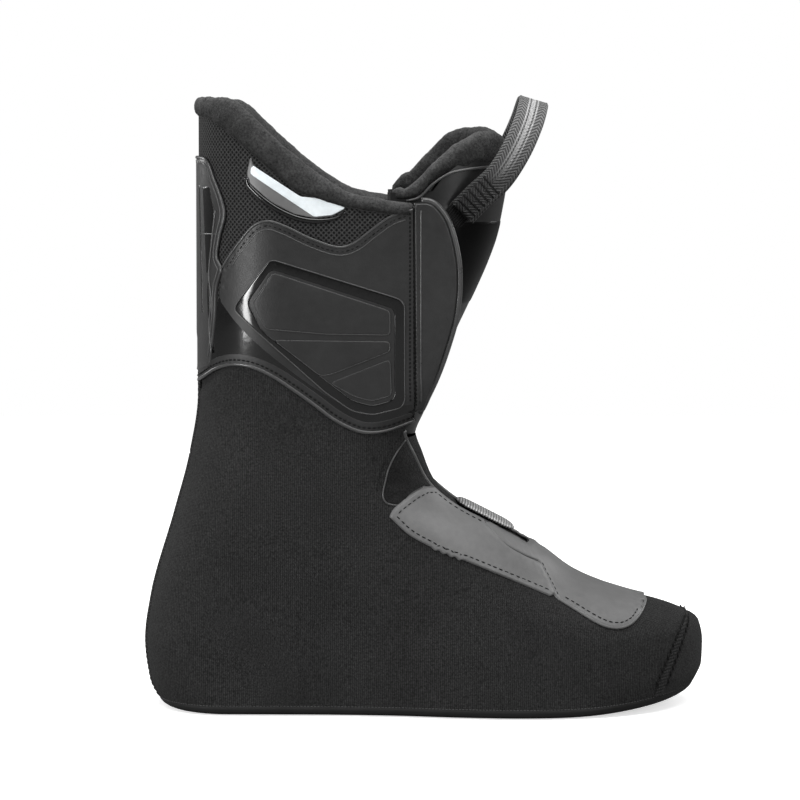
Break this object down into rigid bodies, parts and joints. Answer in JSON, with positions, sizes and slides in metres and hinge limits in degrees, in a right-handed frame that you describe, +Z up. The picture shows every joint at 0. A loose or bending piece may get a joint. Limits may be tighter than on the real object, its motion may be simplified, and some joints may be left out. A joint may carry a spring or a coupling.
{
  "type": "ski boot liner",
  "caption": "Padded inner boot for an alpine ski boot: flat sole, moulded rear spine, fleece collar, side flaps, hinged tongue with a webbing pull loop.",
  "frame": {"origin": "on the ground under mid-length, on the middle of the flat sole", "axes": "+X towards the toe, +Y towards the inner (medial) side, +Z up the leg"},
  "size_m": [0.2863, 0.106, 0.311],
  "materials": {
    "rubber": "matt moulded EVA",
    "board": "stiff needled board",
    "foam": "soft padding, knitted face",
    "textile": "finely ribbed charcoal textile",
    "mesh": "black spacer mesh with a diagonal weave",
    "leather": "grey synthetic leather, fine grain",
    "plate": "satin moulded polyurethane",
    "gloss": "glossy black film",
    "fleece": "brushed fleece",
    "webbing": "woven webbing with silver centre stripes",
    "silver": "ribbed silver fabric",
    "label": "satin white film"
  },
  "bodies": {
    "foot": {"outsole": "rubber", "lasting_board": "board", "toe_cap": "textile", "lower_quarter_lateral": "textile", "ankle_window_lateral": "mesh", "lower_quarter_medial": "textile", "ankle_window_medial": "mesh", "instep_overlay_lateral": "leather", "instep_overlay_medial": "leather", "vamp_overlay": "leather", "toe_seam_tape": "textile", "heel_seam_tape": "textile", "heel_counter": "board", "ankle_pad_lateral": "foam", "ankle_pad_medial": "foam", "achilles_pad": "foam", "toe_box_foam": "foam", "quarter_foam": "foam", "foot_lining": "textile", "tongue_root": "foam", "tongue_end_roll": "silver", "cuff_mesh": "mesh", "rear_spine": "plate", "cuff_panel_lateral": "plate", "cuff_band_lateral": "gloss", "cuff_frame_lateral": "plate", "collar_label_lateral": "label", "cuff_panel_medial": "plate", "cuff_band_medial": "gloss", "cuff_frame_medial": "plate", "collar_label_medial": "label", "spine_stiffener": "board", "cuff_foam": "foam", "cuff_lining": "fleece", "collar_roll": "fleece"},
    "footbed": {"footbed": "foam"},
    "flap_lateral": {"flap_panel_lateral": "plate", "flap_padding_lateral": "foam", "flap_piping_lateral": "gloss"},
    "flap_medial": {"flap_panel_medial": "plate", "flap_padding_medial": "foam", "flap_piping_medial": "gloss"},
    "tongue": {"tongue_shell": "plate", "tongue_insert": "gloss", "tongue_foam": "foam", "tongue_lining": "fleece", "tongue_fleece": "fleece", "loop_tab_lateral": "webbing", "loop_tab_medial": "webbing"},
    "pull_loop": {"pull_loop": "webbing"}
  },
  "joints": [
    {"name": "tongue_flex", "type": "hinge", "parent": "foot", "child": "tongue", "pos_m": [-0.003, 0, 0.1393], "axis": [0, 1, 0], "range_deg": [0, 30], "stiffness_Nm_per_rad": 1.2},
    {"name": "flap_lateral_fold", "type": "hinge", "parent": "foot", "child": "flap_lateral", "pos_m": [-0.0066, -0.0478, 0.2], "axis": [0, 0.0748, -0.9972], "range_deg": [0, 60], "stiffness_Nm_per_rad": 0.2},
    {"name": "flap_medial_fold", "type": "hinge", "parent": "foot", "child": "flap_medial", "pos_m": [-0.0066, 0.0478, 0.2], "axis": [0, 0.0748, 0.9972], "range_deg": [0, 60], "stiffness_Nm_per_rad": 0.2},
    {"name": "pull_loop_fold", "type": "hinge", "parent": "tongue", "child": "pull_loop", "pos_m": [0.0175, 0, 0.2525], "axis": [0, 1, 0], "range_deg": [-25, 85], "stiffness_Nm_per_rad": 0.05},
    {"name": "footbed_lift", "type": "hinge", "parent": "foot", "child": "footbed", "pos_m": [0.1312, 0, 0.0122], "axis": [0, 1, 0], "range_deg": [0, 5]}
  ]
}
